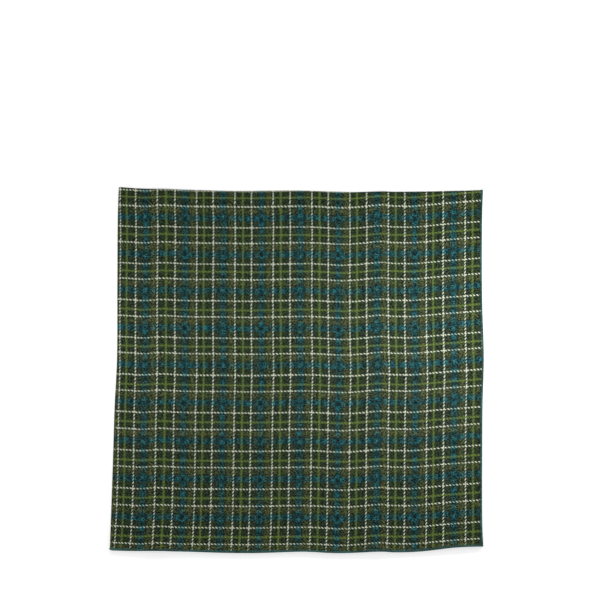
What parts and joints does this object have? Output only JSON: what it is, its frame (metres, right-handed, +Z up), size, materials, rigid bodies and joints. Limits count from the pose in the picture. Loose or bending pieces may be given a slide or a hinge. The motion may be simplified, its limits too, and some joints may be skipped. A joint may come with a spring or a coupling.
{
  "type": "folded square scarf",
  "caption": "Square twill scarf with a rolled hem, folded into quarters and lying flat, worn at the neck or over the shoulders.",
  "frame": {"origin": "under the middle of the folded scarf, on the surface it lies on", "axes": "+X from the left fold towards the open hems, +Y from the bottom hems towards the top fold, +Z up out of the pile of layers"},
  "size_m": [0.454, 0.459, 0.0096],
  "materials": {
    "printed_twill": "soft satin twill weave, printed with a dark green, teal and olive check with cream and lime lines"
  },
  "bodies": {
    "root": {"scarf": "printed_twill"}
  },
  "joints": []
}
